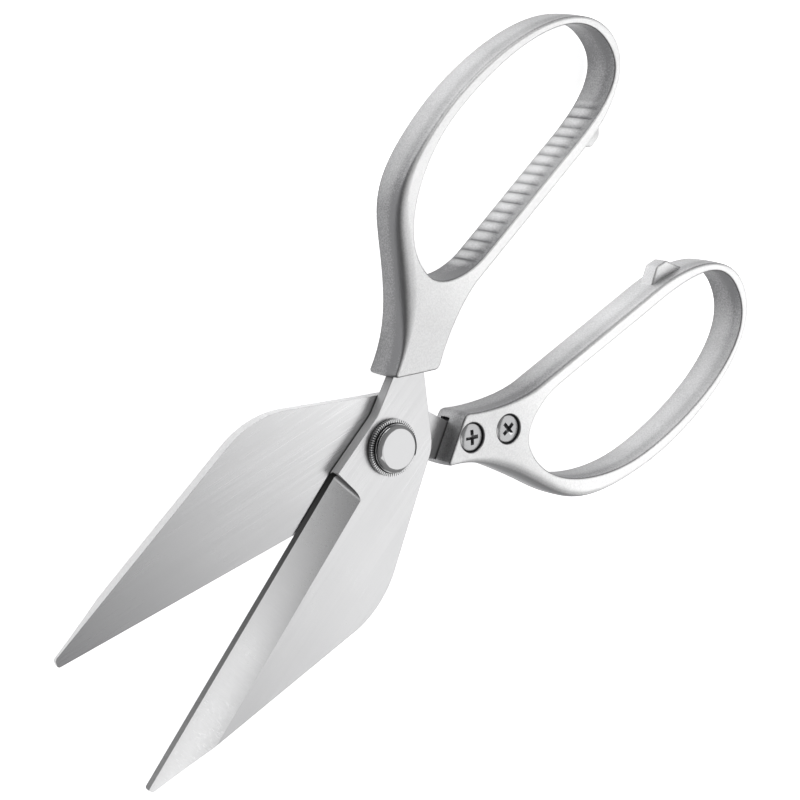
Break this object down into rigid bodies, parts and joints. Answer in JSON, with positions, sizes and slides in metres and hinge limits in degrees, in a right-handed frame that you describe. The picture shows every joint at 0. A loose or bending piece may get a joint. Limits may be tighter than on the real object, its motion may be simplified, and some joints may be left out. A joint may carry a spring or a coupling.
{
  "type": "poultry shears",
  "caption": "Poultry shears with broad pointed steel blades, cast loop handles with stop lugs, and a knurled pivot nut.",
  "frame": {"origin": "centre of the pivot bolt's flat back face, on the pivot axis", "axes": "+Z along the pivot axis, out of the front face; +Y between the handles; blade tips towards -Y; the back half's handle is on +X"},
  "size_m": [0.1164, 0.2066, 0.0118],
  "materials": {
    "blade_steel": "fine ground grain, hollow-ground edge face",
    "handle_casting": "bead-blasted satin die casting",
    "polished_steel": "polished"
  },
  "bodies": {
    "back_half": {"back_blade": "blade_steel", "lower_handle": "handle_casting", "lower_inner_screw": "polished_steel", "lower_outer_screw": "polished_steel", "pivot_bolt": "polished_steel", "pivot_washer": "polished_steel", "knurled_nut": "polished_steel", "pivot_collar": "polished_steel", "pivot_cap": "polished_steel"},
    "front_half": {"front_blade": "blade_steel", "upper_handle": "handle_casting", "upper_inner_screw": "polished_steel", "upper_outer_screw": "polished_steel"}
  },
  "joints": [
    {"name": "blade_pivot", "type": "hinge", "parent": "back_half", "child": "front_half", "pos_m": [0, 0, 0.0055], "axis": [0, 0, 1], "range_deg": [-23.85, 38]}
  ]
}
